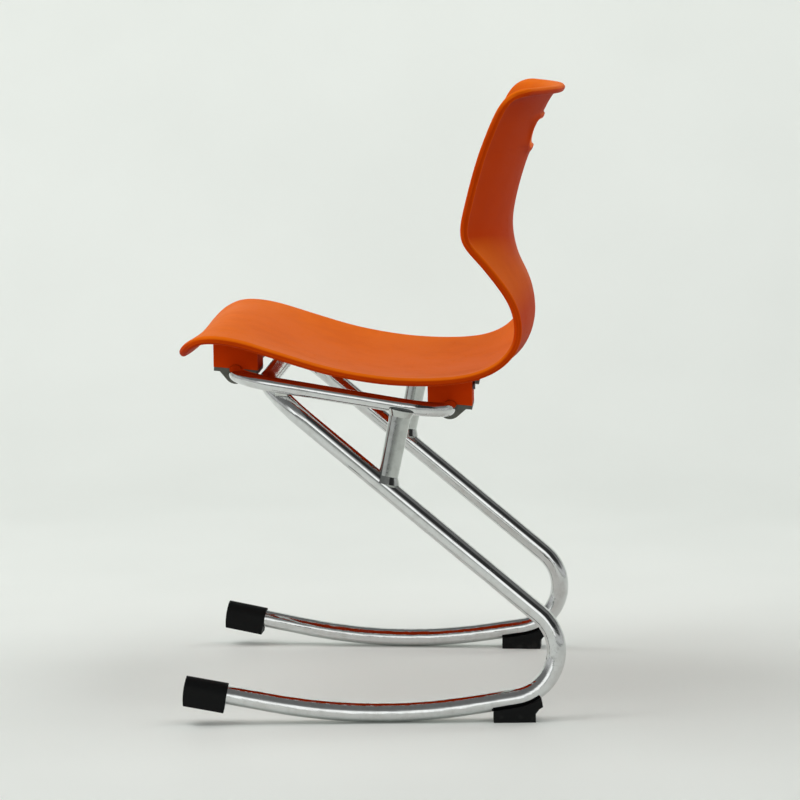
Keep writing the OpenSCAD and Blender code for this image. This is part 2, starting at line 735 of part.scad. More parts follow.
// Rear feet: wedges under the rear bend, with a flat sole and a tail that follows the tube.
// The turns are counted round the bend from straight below its middle.
hug = 2;
tail_t = 8;
tail_low_turn = 28;
tail_turn = 32;
hug_turn = 35;
hug_steps = 8;
rear_turn = 180 - leg_slope - rocker_rear_slope;
rear_cut = rear_bend_r * tan(rear_turn / 2);
bend_start = rear_corner - rear_cut * [cos(rocker_rear_slope), sin(rocker_rear_slope)];
bend_mid = bend_start + rear_bend_r * [-sin(rocker_rear_slope), cos(rocker_rear_slope)];
function tube_line(y) = rear_tangent[1] + (y - rear_tangent[0]) * tan(rocker_rear_slope);
function on_bend(r, turn) = bend_mid + r * [sin(turn), -cos(turn)];
hug_r = rear_bend_r + leg_r - hug;
tail_r = rear_bend_r + leg_r + tail_t;
foot_front = bend_start[0] - foot_lead;
foot_back = foot_front + foot_len;
back_share = 0.66;
tail_low = on_bend(tail_r, tail_low_turn);
foot_outline = concat(
    [[foot_front, 0], [foot_back, 0], [foot_back, tail_low[1] * back_share], tail_low],
    [on_bend(tail_r - fit, tail_turn), on_bend(hug_r + hug / 2, hug_turn)],
    [for (i = [0 : hug_steps])
        on_bend(hug_r, hug_turn - (hug_turn - rocker_rear_slope) * i / hug_steps)],
    [[foot_front, tube_line(foot_front) - leg_r / cos(rocker_rear_slope) + hug]]);

module foot(side) {
    color(black)
        on_side(side)
            difference() {
                in_rocker_plane()
                    translate([-foot_w / 2, 0, 0])
                        rotate([90, 0, 90]) linear_extrude(foot_w) polygon(foot_outline);
                tube_leg(leg_path, leg_radii, 1, leg_r + fit);
                tube_bend(leg_path, leg_radii, 2, leg_r + fit);
                foot_screw_hole();
            }
}
module left_foot() { foot(-1); }
module right_foot() { foot(1); }

// One countersunk screw holds each foot to the rocker from below
foot_screw_d = 4;
foot_head_r = 4;
foot_screw_share = 0.3;
foot_screw_y = foot_front + foot_screw_share * foot_len;
foot_screw_top = tube_line(foot_screw_y) - leg_r + 3 * tube_wall;
sole_recess = 2;
module foot_screw_shape(slack) {
    in_rocker_plane()
        translate([0, foot_screw_y, sole_recess]) {
            cylinder(h = foot_head_r / 2, r1 = foot_head_r + slack, r2 = foot_screw_d / 2 + slack);
            cylinder(h = foot_screw_top - sole_recess, r = foot_screw_d / 2 + slack);
        }
}
module foot_screw_hole() {
    foot_screw_shape(fit);
    in_rocker_plane()
        translate([0, foot_screw_y, -over]) cylinder(h = sole_recess + over, r = foot_head_r + fit);
}
module foot_screws() {
    color(zinc)
        for (side = [-1, 1]) on_side(side) foot_screw_shape(0);
}

seat_shell();
leg_frame();
seat_ring();
left_post();
right_post();
left_ring_weld();
right_ring_weld();
front_left_block();
front_right_block();
rear_left_block();
rear_right_block();
front_left_clamp();
front_right_clamp();
rear_left_clamp();
rear_right_clamp();
clamp_screws();
block_screws();
left_cap();
right_cap();
left_foot();
right_foot();
foot_screws();
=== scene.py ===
# %% [markdown]
# # Rocking school chair: the looks
# The chair is a one-piece plastic shell on a chromed tube frame that rocks on two curved runners.
# The frame, blocks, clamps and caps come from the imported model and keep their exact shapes.
# This lesson dresses them: it sets the camera and the studio, smooths the seat shell, and gives
# each surface a node material with the small marks that the real finish has.

# %% Load the fixed frame
import math
import bpy
import bmesh
from mathutils import Matrix, Vector


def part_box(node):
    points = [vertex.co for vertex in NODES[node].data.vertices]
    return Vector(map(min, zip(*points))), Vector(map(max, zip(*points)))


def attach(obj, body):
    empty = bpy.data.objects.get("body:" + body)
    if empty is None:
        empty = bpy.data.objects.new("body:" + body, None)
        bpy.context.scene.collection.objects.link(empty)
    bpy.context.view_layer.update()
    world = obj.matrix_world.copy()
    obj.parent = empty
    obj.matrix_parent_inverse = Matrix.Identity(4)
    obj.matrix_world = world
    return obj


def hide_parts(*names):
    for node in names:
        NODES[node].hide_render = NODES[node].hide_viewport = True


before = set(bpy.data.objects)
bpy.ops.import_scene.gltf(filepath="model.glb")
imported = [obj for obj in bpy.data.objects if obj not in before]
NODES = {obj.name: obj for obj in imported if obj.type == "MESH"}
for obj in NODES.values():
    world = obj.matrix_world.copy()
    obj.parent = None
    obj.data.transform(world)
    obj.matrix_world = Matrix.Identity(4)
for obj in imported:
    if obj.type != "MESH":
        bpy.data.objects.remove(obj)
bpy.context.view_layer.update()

BODY = "root"

# %% [markdown]
# ## Camera
# The photograph is a side view through a long lens, from a little above the seat. The chair's
# near side shows almost edge on, and the far side sits higher in the picture. The lens, place and
# turn below were fitted to the tubes and caps, so that the render can be laid over the photograph.
# The turn is written as yaw, pitch and roll, and the camera's axes are worked out from them.

# %% Camera
PICTURE_PX = 800
SENSOR_MM = 36.0
FOCAL_PX = 3165.7
CAMERA_PLACE = Vector((3.7379, 0.2511, 0.8423))
CAMERA_YAW, CAMERA_PITCH, CAMERA_ROLL = 0.060981, 0.132521, -0.012367

look = Vector((
    -math.cos(CAMERA_YAW) * math.cos(CAMERA_PITCH),
    -math.sin(CAMERA_YAW) * math.cos(CAMERA_PITCH),
    -math.sin(CAMERA_PITCH)))
flat_right = look.cross(Vector((0, 0, 1))).normalized()
flat_up = flat_right.cross(look)
cos_roll, sin_roll = math.cos(CAMERA_ROLL), math.sin(CAMERA_ROLL)
right = cos_roll * flat_right + sin_roll * flat_up
up = -sin_roll * flat_right + cos_roll * flat_up

camera_data = bpy.data.cameras.new("camera")
camera_data.sensor_width = SENSOR_MM
camera_data.lens = FOCAL_PX * SENSOR_MM / PICTURE_PX
camera_data.clip_end = 50
camera = bpy.data.objects.new("camera", camera_data)
camera.matrix_world = Matrix((
    (right.x, up.x, -look.x, CAMERA_PLACE.x),
    (right.y, up.y, -look.y, CAMERA_PLACE.y),
    (right.z, up.z, -look.z, CAMERA_PLACE.z),
    (0, 0, 0, 1)))
bpy.context.scene.collection.objects.link(camera)
bpy.context.scene.camera = camera
bpy.context.scene.view_settings.view_transform = "Standard"
print("lens", round(camera_data.lens, 2), "mm")

# %% [markdown]
# ## Small helpers for materials
# Every material here is a Principled shader with a few textures in front of it. The helpers keep
# those node chains short: one adds a node and sets its sockets, one makes a noise on Object
# coordinates, and one mixes two colours by a mask. Sizes of marks are given in metres, as on the
# object, and turned into the noise's scale. Some nodes have several sockets of one name, so those
# are called by their number.

# %% Material helpers
MIX_MASK, MIX_FIRST, MIX_SECOND, MIX_RESULT = 0, 6, 7, 2
BEVEL_SAMPLES = 4
FLAT_COSINE, EDGE_COSINE = 0.98, 0.80


def add_node(tree, kind, sockets=None, **settings):
    """Adds a node with its settings, and links or sets its sockets."""
    made = tree.nodes.new(kind)
    for key, value in settings.items():
        setattr(made, key, value)
    for key, value in (sockets or {}).items():
        if isinstance(value, bpy.types.NodeSocket):
            tree.links.new(value, made.inputs[key])
        else:
            made.inputs[key].default_value = value
    return made


class Finish:
    """A Principled material and the nodes that feed it."""

    def __init__(self, name, **sockets):
        self.material = bpy.data.materials.new(name)
        self.material.use_nodes = True
        self.tree = self.material.node_tree
        self.shader = self.tree.nodes["Principled BSDF"]
        self.place = self.node("ShaderNodeTexCoord").outputs["Object"]
        for socket, value in sockets.items():
            self.shader.inputs[socket.replace("_", " ")].default_value = value

    def node(self, kind, sockets=None, **settings):
        """Adds a node to this material."""
        return add_node(self.tree, kind, sockets, **settings)

    def feed(self, socket, source):
        """Links a source to one of the shader's sockets."""
        self.tree.links.new(source, self.shader.inputs[socket])

    def stretched(self, scale):
        """Object coordinates, drawn out along an axis where its scale is small."""
        return self.node("ShaderNodeMapping", {"Vector": self.place, "Scale": scale}).outputs[0]

    def noise(self, size, detail=4.0, rough=0.55, at=None):
        """A noise whose marks are about that size in metres."""
        sockets = {"Vector": at or self.place, "Scale": 1 / size, "Detail": detail, "Roughness": rough}
        return self.node("ShaderNodeTexNoise", sockets).outputs["Fac"]

    def spread(self, source, low, high, out_low=0.0, out_high=1.0):
        """Takes the range from low to high to another range, and stops at both ends."""
        sockets = {0: source, 1: low, 2: high, 3: out_low, 4: out_high}
        return self.node("ShaderNodeMapRange", sockets).outputs[0]

    def maths(self, operation, first, second):
        """Works out one value from two sources."""
        return self.node("ShaderNodeMath", {0: first, 1: second}, operation=operation).outputs[0]

    def tint(self, mask, first, second):
        """Mixes two colours or sources by a mask."""
        sockets = {MIX_MASK: mask}
        for key, value in ((MIX_FIRST, first), (MIX_SECOND, second)):
            sockets[key] = (*value, 1.0) if isinstance(value, tuple) else value
        return self.node("ShaderNodeMix", sockets, data_type="RGBA").outputs[MIX_RESULT]

    def edges(self, reach):
        """A mask that is 1 on an edge of the piece and fades out within the reach."""
        shape = self.node("ShaderNodeNewGeometry").outputs["Normal"]
        rounded = self.rounded_edges(reach)
        same = self.node("ShaderNodeVectorMath", {0: shape, 1: rounded}, operation="DOT_PRODUCT")
        return self.spread(same.outputs["Value"], FLAT_COSINE, EDGE_COSINE)

    def rounded_edges(self, reach):
        """A normal that rolls over the piece's edges, as if they were rounded."""
        return self.node("ShaderNodeBevel", {"Radius": reach}, samples=BEVEL_SAMPLES).outputs[0]

    def bump(self, height, depth, strength=1.0, under=None):
        """Turns a height from 0 to 1 into a bump of that depth in metres."""
        sockets = {"Height": height, "Distance": depth, "Strength": strength}
        if under is not None:
            sockets["Normal"] = under
        return self.node("ShaderNodeBump", sockets).outputs[0]


def dress(finish, *names):
    """Gives CAD nodes a finish in place of the plain material of their slot."""
    for name in names:
        mesh = NODES[name].data
        mesh.materials.clear()
        mesh.materials.append(finish.material)
    print(finish.material.name, "on", len(names), "nodes")

# %% [markdown]
# ## Orange plastic
# The shell and its four mounting blocks are injection moulded in one orange polypropylene. The
# tool leaves a very fine leather-like grain that breaks the highlight into a satin, and the colour
# runs a touch deeper along the flow of the plastic.
# The grain is a small noise used as bump. A broad noise moves the colour and the gloss slightly.
# Masks from the surface's own normal paint light and shade into the colour: faces that look up
# get a lighter orange, the sides a deeper one, and the underside a deep red orange as painted
# shade. The rim is painted lighter, partly as rubbed wear and partly as a painted highlight, and it
# is a little smoother.

# %% Orange plastic
# The top, side and under tones below are lit and shaded copies of one orange: painted light and shade,
# picked by which way a face looks.
SHELL_LIT_TOP = (0.79, 0.154, 0.0050)
SHELL_SHADED_SIDE = (0.56, 0.048, 0.0012)
SHELL_SHADED_UNDER = (0.40, 0.024, 0.0010)
# The rim's tone, and the blocks' edge tone below, are painted lighter: partly rubbed wear, partly a
# painted highlight.
SHELL_RIM_WEAR_AND_HIGHLIGHT = (0.93, 0.125, 0.004)
BLOCK_LIT_TOP = (0.74, 0.100, 0.0050)
BLOCK_SHADED_SIDE = (0.68, 0.052, 0.0020)
BLOCK_SHADED_UNDER = (0.40, 0.020, 0.0010)
BLOCK_EDGE_WEAR_AND_HIGHLIGHT = (0.78, 0.11, 0.006)
PATCH_SIZE, FLOW_SIZE, SCUFF_SIZE = 0.13, 0.03, 0.006
GRAIN_SIZE = 0.0009
SHEET_WAVE_SIZE, SHEET_WAVE_DEPTH = 0.06, 0.0005


def orange_plastic(name, top, side, under, gloss_low, gloss_high):
    """The plastic's colour and gloss, for the shell and the blocks to finish in their own way."""
    made = Finish(name, Specular_IOR_Level=0.008)
    facing = made.node("ShaderNodeNewGeometry").outputs["Normal"]
    upward_painted_shade = made.node("ShaderNodeSeparateXYZ", {"Vector": facing}).outputs["Z"]
    # The normal's height picks the lit top, the shaded side and the shaded underside: painted light and
    # shade.
    colour = made.tint(made.spread(upward_painted_shade, 0.15, 0.75), side, top)
    colour = made.tint(made.spread(upward_painted_shade, -0.25, -0.75), colour, under)
    broad = made.noise(PATCH_SIZE, detail=3.0)
    streaks = made.noise(FLOW_SIZE, detail=4.0)
    flow = made.maths("MULTIPLY", streaks, made.spread(broad, 0.35, 0.65, 0.6, 1.4))
    colour = made.tint(made.spread(flow, 0.45, 0.80, 0.0, 0.10), colour, under)
    scuffs = made.noise(SCUFF_SIZE, detail=6.0, rough=0.7, at=made.stretched((0.25, 1.0, 1.0)))
    gloss = made.spread(broad, 0.3, 0.7, gloss_low, gloss_high)
    gloss = made.maths("ADD", gloss, made.spread(scuffs, 0.56, 0.74, 0.0, 0.10))
    return made, colour, gloss


def grained(made, depth, under=None):
    """The mould's fine grain over a slight waviness of the whole sheet."""
    waves = made.bump(made.noise(SHEET_WAVE_SIZE, detail=1.0), SHEET_WAVE_DEPTH, 0.4, under=under)
    grain = made.noise(GRAIN_SIZE, detail=3.0, rough=0.6)
    made.feed("Normal", made.bump(grain, depth, 0.45, under=waves))


def shell_plastic():
    """The shell's plastic: the mesh's pointiness is highest on the rim and the hole's lip."""
    made, colour, gloss = orange_plastic("orange_shell", SHELL_LIT_TOP, SHELL_SHADED_SIDE, SHELL_SHADED_UNDER, 0.42, 0.52)
    ridge = made.node("ShaderNodeNewGeometry").outputs["Pointiness"]
    edge_wear_and_highlight = made.spread(ridge, 0.505, 0.55)
    # The rim and the hole's lip are painted lighter: partly rubbed wear, partly a painted highlight.
    made.feed("Base Color", made.tint(edge_wear_and_highlight, colour, SHELL_RIM_WEAR_AND_HIGHLIGHT))
    made.feed("Roughness", made.maths("SUBTRACT", gloss, made.maths("MULTIPLY", edge_wear_and_highlight, 0.08)))
    grained(made, 0.00006)
    return made


def block_plastic():
    made, colour, gloss = orange_plastic("orange_block", BLOCK_LIT_TOP, BLOCK_SHADED_SIDE, BLOCK_SHADED_UNDER, 0.46, 0.56)
    # The blocks' edges are painted lighter: partly rubbed wear, partly a painted highlight.
    edge_wear_and_highlight = made.maths("MULTIPLY", made.edges(0.0012), 0.7)
    made.feed("Base Color", made.tint(edge_wear_and_highlight, colour, BLOCK_EDGE_WEAR_AND_HIGHLIGHT))
    made.feed("Roughness", gloss)
    grained(made, 0.00005, under=made.rounded_edges(0.0010))
    return made


shell_finish = shell_plastic()
dress(block_plastic(), "front_left_block", "front_right_block", "rear_left_block", "rear_right_block")

# %% [markdown]
# ## Chrome
# The tubes are bent first and plated afterwards, so the chrome is bright and mirrors the studio.
# The tube under it isn't perfect. Drawing leaves fine lines along it, bending leaves long faint
# waves, and there is a dusting of pinholes and grit under the plate. All of these are bumps too
# shallow to feel. A noise makes the lines where it is drawn out along the tube: along the slope
# of the legs, along the rails of the ring, and round the rocker's arc for the runners.

# %% Chrome
LEG_SLOPE, RING_SLOPE = math.radians(-40.3), math.radians(-9.7)
ARC_MIDDLE = (0.0, 0.053, 0.694)
RUNNER_TOP, RUNNER_FADE = 0.045, 0.01
LINE_WIDTH, LINE_STRETCH, LINE_DEPTH = 0.0022, 40.0, 0.00018
GRIT_SIZE, GRIT_COLOUR = 0.0010, (0.50, 0.49, 0.46)
HAZE_SIZE = 0.012
WAVE_SIZE, SWELL_SIZE = 0.02, 0.055
TUBE_BRIGHT, TUBE_DULL = (0.70, 0.71, 0.71), (0.60, 0.60, 0.59)


def chrome(name, bright, dull, roughness, wave_depth):
    """Chrome with haze and grit, and returns the grit's mask and the waves' bump too."""
    made = Finish(name, Metallic=1.0)
    grit = made.noise(GRIT_SIZE, detail=2.0, rough=0.5)
    where = made.noise(0.045, detail=2.0)
    spots = made.maths("MULTIPLY", made.spread(grit, 0.66, 0.70), made.spread(where, 0.48, 0.66))
    haze = made.noise(HAZE_SIZE, detail=5.0, rough=0.65)
    tone = made.tint(made.spread(haze, 0.45, 0.75), bright, dull)
    made.feed("Base Color", made.tint(spots, tone, GRIT_COLOUR))
    gloss = made.spread(haze, 0.42, 0.75, roughness, roughness + 0.04)
    made.feed("Roughness", made.maths("ADD", gloss, made.spread(spots, 0.0, 1.0, 0.0, 0.2)))
    waves = made.noise(WAVE_SIZE, detail=1.5, at=made.stretched((1.0, 0.3, 0.3)))
    swell = made.bump(made.noise(SWELL_SIZE, detail=1.0), 4 * wave_depth, 0.5)
    return made, spots, made.bump(waves, wave_depth, 0.5, under=swell)


def drawn_lines(made, slope):
    """Fine lines along straight tubes of that slope."""
    sockets = {"Vector": made.place, "Rotation": (slope, 0, 0), "Scale": (1, LINE_STRETCH, 1)}
    along = made.node("ShaderNodeMapping", sockets, vector_type="TEXTURE")
    return made.noise(LINE_WIDTH, detail=2.0, rough=0.5, at=along.outputs[0])


def arc_lines(made):
    """Fine lines along the rocker's arc, where the distance to its middle stays the same."""
    x, y, z = made.node("ShaderNodeSeparateXYZ", {"Vector": made.place}).outputs
    flat = made.node("ShaderNodeCombineXYZ", {"X": 0.0, "Y": y, "Z": z}).outputs[0]
    reach = made.node("ShaderNodeVectorMath", {0: flat, 1: ARC_MIDDLE}, operation="DISTANCE")
    sockets = {"X": x, "Y": reach.outputs["Value"], "Z": made.maths("DIVIDE", y, LINE_STRETCH)}
    drawn = made.node("ShaderNodeCombineXYZ", sockets)
    return made.noise(LINE_WIDTH, detail=2.0, rough=0.5, at=drawn.outputs[0])


def tube_chrome(name, slope):
    made, spots, normal = chrome(name, TUBE_BRIGHT, TUBE_DULL, 0.015, 0.00016)
    height = made.node("ShaderNodeSeparateXYZ", {"Vector": made.place}).outputs["Z"]
    above_runner = made.spread(height, RUNNER_TOP, RUNNER_TOP + RUNNER_FADE)
    lines = made.tint(above_runner, arc_lines(made), drawn_lines(made, slope))
    lined = made.bump(lines, LINE_DEPTH, 0.6, under=normal)
    made.feed("Normal", made.bump(spots, 0.00008, 0.7, under=lined))
    return made

# %% [markdown]
# ## Chrome over the welds
# The posts are welded in by hand before plating. Near each end the plate follows the ripples of
# the weld bead, and the middle of the post stays as smooth as the other tubes. The height on the
# post says how near the weld is, so one ripple noise is faded in by a mask made from it. The short
# welds beside the ring have that ripple all over.

# %% Posts and welds
POST_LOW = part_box("left_post")[0].z
POST_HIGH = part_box("left_post")[1].z
WELD_REACH = 0.014
RIPPLE_SIZE, RIPPLE_DEPTH = 0.008, 0.00045


def rippled(made, spots, normal, mask=None):
    """Feeds the weld's ripples to the chrome, only where the mask is if there is one."""
    ripple = made.noise(RIPPLE_SIZE, detail=1.5, rough=0.45)
    if mask is not None:
        ripple = made.maths("MULTIPLY", ripple, mask)
    lumps = made.bump(ripple, RIPPLE_DEPTH, 0.8, under=normal)
    made.feed("Normal", made.bump(spots, 0.00005, 0.5, under=lumps))
    return made


def post_chrome():
    made, spots, normal = chrome("chrome_post", (0.56, 0.58, 0.56), (0.44, 0.45, 0.43), 0.04, 0.0003)
    height = made.node("ShaderNodeSeparateXYZ", {"Vector": made.place}).outputs["Z"]
    top = made.spread(height, POST_HIGH - 2.6 * WELD_REACH, POST_HIGH - WELD_REACH)
    foot = made.spread(height, POST_LOW + 1.9 * WELD_REACH, POST_LOW + WELD_REACH)
    return rippled(made, spots, normal, made.maths("MAXIMUM", top, foot))


def weld_chrome():
    made, spots, normal = chrome("chrome_weld", (0.62, 0.63, 0.61), (0.42, 0.42, 0.40), 0.10, 0.0002)
    return rippled(made, spots, normal)


dress(tube_chrome("chrome_legs", LEG_SLOPE), "leg_frame")
dress(tube_chrome("chrome_ring", RING_SLOPE), "seat_ring")
dress(post_chrome(), "left_post", "right_post")
dress(weld_chrome(), "left_ring_weld", "right_ring_weld")
print("weld ripples within", round(1000 * WELD_REACH), "mm of the post's ends")

# %% [markdown]
# ## Black caps and rear feet
# The front caps and rear feet are moulded rubber: nearly black and matte. Their edges are painted
# a little lighter where the noise allows, partly as worn rubber and partly as a painted sheen, and
# there is grey dust where they touch the floor. The dust is a noise that is strongest near the
# floor. The Bevel node rounds the edges in the shading alone, as the mould rounds the real ones.

# %% Caps and feet
RUBBER_BLACK, RUBBER_WEAR_AND_SHEEN = (0.0050, 0.0055, 0.0056), (0.030, 0.030, 0.029)
DUST_COLOUR, DUST_SIZE, DUST_TOP = (0.045, 0.043, 0.040), 0.009, 0.012
RUBBER_EDGE = 0.0012


def rubber():
    made = Finish("black_rubber", Specular_IOR_Level=0.12)
    dust = made.noise(DUST_SIZE, detail=6.0, rough=0.7)
    height = made.node("ShaderNodeSeparateXYZ", {"Vector": made.place}).outputs["Z"]
    low = made.spread(height, 0.0, DUST_TOP, 0.8, 0.06)
    dusty = made.maths("MULTIPLY", made.spread(dust, 0.48, 0.75), low)
    colour = made.tint(dusty, RUBBER_BLACK, DUST_COLOUR)
    # Lighter edges, broken by the dust noise: partly worn rubber, partly a painted sheen.
    edge_wear_and_sheen = made.maths("MULTIPLY", made.edges(RUBBER_EDGE), made.spread(dust, 0.35, 0.7))
    made.feed("Base Color", made.tint(edge_wear_and_sheen, colour, RUBBER_WEAR_AND_SHEEN))
    made.feed("Roughness", made.spread(dust, 0.3, 0.7, 0.50, 0.66))
    grain = made.noise(0.0007, detail=2.0)
    made.feed("Normal", made.bump(grain, 0.00005, 0.5, under=made.rounded_edges(RUBBER_EDGE)))
    return made


dress(rubber(), "left_cap", "right_cap", "left_foot", "right_foot")

# %% [markdown]
# ## Clamps and screws
# The clamps are a greenish grey moulding with a coarser grain, dull on its faces. Their edges are
# painted brighter, partly as rubbed wear and partly as a painted highlight. The screws are small
# steel parts: zinc plated ones hold the clamps and the feet, and dark ones enter the rear blocks.
# Fine marks round their heads come from the tool.

# %% Clamps and screws
CLAMP_DARK, CLAMP_LIGHT, CLAMP_WEAR_AND_HIGHLIGHT = (0.085, 0.092, 0.074), (0.135, 0.140, 0.116), (0.22, 0.22, 0.19)
CLAMP_EDGE, SCREW_EDGE = 0.0008, 0.0004


def clamp_grey():
    made = Finish("grey_clamp", Specular_IOR_Level=0.45)
    patch = made.noise(0.010, detail=5.0, rough=0.6)
    colour = made.tint(made.spread(patch, 0.35, 0.7), CLAMP_DARK, CLAMP_LIGHT)
    # Brighter edges: partly rubbed wear, partly a painted highlight.
    made.feed("Base Color", made.tint(made.edges(CLAMP_EDGE), colour, CLAMP_WEAR_AND_HIGHLIGHT))
    made.feed("Roughness", made.spread(patch, 0.3, 0.7, 0.36, 0.54))
    grain = made.noise(0.0009, detail=3.0)
    made.feed("Normal", made.bump(grain, 0.00008, 0.5, under=made.rounded_edges(CLAMP_EDGE)))
    return made


def steel(name, colour, dark, roughness):
    """Plated steel with the marks of the tool round the screw's head."""
    made = Finish(name, Metallic=1.0)
    marks = made.noise(0.0012, detail=3.0, at=made.stretched((1.0, 1.0, 0.2)))
    made.feed("Base Color", made.tint(made.spread(marks, 0.4, 0.7), colour, dark))
    made.feed("Roughness", made.spread(marks, 0.3, 0.7, roughness, roughness + 0.15))
    made.feed("Normal", made.bump(marks, 0.00004, 0.5, under=made.rounded_edges(SCREW_EDGE)))
    return made


dress(clamp_grey(), "front_left_clamp", "front_right_clamp", "rear_left_clamp", "rear_right_clamp")
dress(steel("zinc_screw", (0.55, 0.56, 0.54), (0.30, 0.30, 0.28), 0.30), "clamp_screws", "foot_screws")
dress(steel("dark_screw", (0.16, 0.16, 0.17), (0.06, 0.06, 0.06), 0.35), "block_screws")

# %% [markdown]
# ## The seat shell
# The real shell is one moulded sheet with a rolled rim, and no facet shows on it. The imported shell
# is a mesh of flat triangles, so a copy of it is merged, its triangles are joined into four-sided
# faces, and a Subdivision Surface rounds them. The copy keeps every row and column of the solid, so
# it fills the same space, and the hand hole and its raised lip stay where they are.

# %% Seat shell
MERGE_REACH = 1e-6
JOIN_ANGLE = math.radians(60)


def merged_copy(name, source):
    """A mesh of a CAD node with its loose corners merged and its triangles joined in pairs."""
    work = bmesh.new()
    work.from_mesh(NODES[source].data)
    bmesh.ops.remove_doubles(work, verts=work.verts, dist=MERGE_REACH)
    bmesh.ops.join_triangles(
        work, faces=work.faces, angle_face_threshold=JOIN_ANGLE, angle_shape_threshold=JOIN_ANGLE)
    mesh = bpy.data.meshes.new(name)
    work.to_mesh(mesh)
    work.free()
    return mesh


shell_mesh = merged_copy("shell", "seat_shell")
for face in shell_mesh.polygons:
    face.use_smooth = True
print("shell:", len(shell_mesh.polygons), "faces before smoothing")

# %% [markdown]
# The smoothing would also soften the hand hole's edges, which are crisp on the real moulding. A
# crease holds an edge back from being rounded, so the sharp edges in the hole's belt of the back
# get one. The belt is given by its lowest and highest z and by half its width.

# %% Hand hole
HOLE_LOW, HOLE_HIGH, HOLE_HALF = 0.640, 0.692, 0.080
HOLE_ANGLE = math.radians(50)
HOLE_CREASE = 0.6


def crease_hole(mesh):
    """Creases the hole's edges, where two faces meet at a sharp angle, and counts them."""
    work = bmesh.new()
    work.from_mesh(mesh)
    crease = work.edges.layers.float.new("crease_edge")
    count = 0
    for edge in work.edges:
        place = (edge.verts[0].co + edge.verts[1].co) / 2
        inner = HOLE_LOW < place.z < HOLE_HIGH and abs(place.x) < HOLE_HALF
        if inner and edge.calc_face_angle(0.0) > HOLE_ANGLE:
            edge[crease] = HOLE_CREASE
            count += 1
    work.to_mesh(mesh)
    work.free()
    return count


sharp = crease_hole(shell_mesh)
print("creased edges round the hand hole:", sharp)

# %% [markdown]
# The shell gets its plastic and the smoothing, and two levels are enough to hide every facet. It
# rides on the chair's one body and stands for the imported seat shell.

# %% Smooth and place the shell
SMOOTH_LEVELS = 2
shell_mesh.materials.append(shell_finish.material)
shell = bpy.data.objects.new("shell", shell_mesh)
bpy.context.scene.collection.objects.link(shell)
smooth = shell.modifiers.new("smooth", "SUBSURF")
smooth.levels = smooth.render_levels = SMOOTH_LEVELS
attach(shell, BODY)
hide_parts("seat_shell")
print("shell:", smooth.render_levels, "levels of smoothing, in place of seat_shell on", BODY)

# %% [markdown]
# ## Studio
# The photograph was taken against a pale seamless paper: a floor that curves up into the wall. The
# sweep is one profile of points drawn out sideways. Its colour is pale and slightly green, and it
# turns to a plain light grey well in front of the camera's view, as the studio's own floor does:
# that is what gives the chrome its grey below the white. The sheet can be seen from its front
# alone: from behind, its material is clear, so that it hides nothing in a view from the far side.
# Its faces are made to agree and then turned round, because an open sheet has no outside.

# %% Floor and backdrop
SWEEP_FRONT, SWEEP_BACK, SWEEP_TOP, SWEEP_WIDE = 3.0, -2.6, 2.3, 4.5
SWEEP_BEND, SWEEP_STEPS = 1.3, 16

work = bmesh.new()
turn = Vector((SWEEP_BACK + SWEEP_BEND, -SWEEP_WIDE, SWEEP_BEND))
profile = [Vector((SWEEP_FRONT, -SWEEP_WIDE, 0))]
for step in range(SWEEP_STEPS + 1):
    angle = math.pi / 2 * step / SWEEP_STEPS
    profile.append(turn + SWEEP_BEND * Vector((-math.sin(angle), 0, -math.cos(angle))))
profile.append(Vector((SWEEP_BACK, -SWEEP_WIDE, SWEEP_TOP)))
corners = [work.verts.new(point) for point in profile]
edges = [work.edges.new(pair) for pair in zip(corners, corners[1:])]
drawn = bmesh.ops.extrude_edge_only(work, edges=edges)["geom"]
far_corners = [v for v in drawn if isinstance(v, bmesh.types.BMVert)]
bmesh.ops.translate(work, verts=far_corners, vec=(0, 2 * SWEEP_WIDE, 0))
bmesh.ops.recalc_face_normals(work, faces=work.faces)
bmesh.ops.reverse_faces(work, faces=work.faces)
sweep_mesh = bpy.data.meshes.new("sweep")
work.to_mesh(sweep_mesh)
work.free()
for face in sweep_mesh.polygons:
    face.use_smooth = True
sweep = bpy.data.objects.new("sweep", sweep_mesh)
bpy.context.scene.collection.objects.link(sweep)
print("sweep faces:", len(sweep_mesh.polygons), "floor faces up:", sweep_mesh.polygons[0].normal.z > 0)

# %% [markdown]
# The paper is a dull, slightly cloudy white. A Mix Shader picks the clear shader wherever the sheet
# is seen from behind, and the Geometry node's Backfacing says where that is.

# %% Paper
PAPER_LOW, PAPER_HIGH = (0.86, 0.89, 0.85), (0.89, 0.92, 0.88)
FLOOR_GREY = (0.58, 0.60, 0.57)
PAPER_END, PAPER_FADE = 1.1, 0.7
CLOUD_SIZE = 0.5

paper = Finish("sweep_paper", Roughness=0.55, Specular_IOR_Level=0.25)
cloudy = paper.noise(CLOUD_SIZE, detail=2.0)
white_paper = paper.tint(paper.spread(cloudy, 0.35, 0.65), PAPER_LOW, PAPER_HIGH)
forward = paper.node("ShaderNodeSeparateXYZ", {"Vector": paper.place}).outputs["X"]
past_paper = paper.spread(forward, PAPER_END, PAPER_END + PAPER_FADE)
paper.feed("Base Color", paper.tint(past_paper, white_paper, FLOOR_GREY))
behind = paper.node("ShaderNodeNewGeometry").outputs["Backfacing"]
clear = paper.node("ShaderNodeBsdfTransparent").outputs[0]
one_sided = paper.node("ShaderNodeMixShader", {0: behind, 1: paper.shader.outputs[0], 2: clear})
paper.tree.links.new(one_sided.outputs[0], paper.tree.nodes["Material Output"].inputs["Surface"])
sweep_mesh.materials.append(paper.material)
print("plain floor from x =", round(PAPER_END + PAPER_FADE, 2), "m")

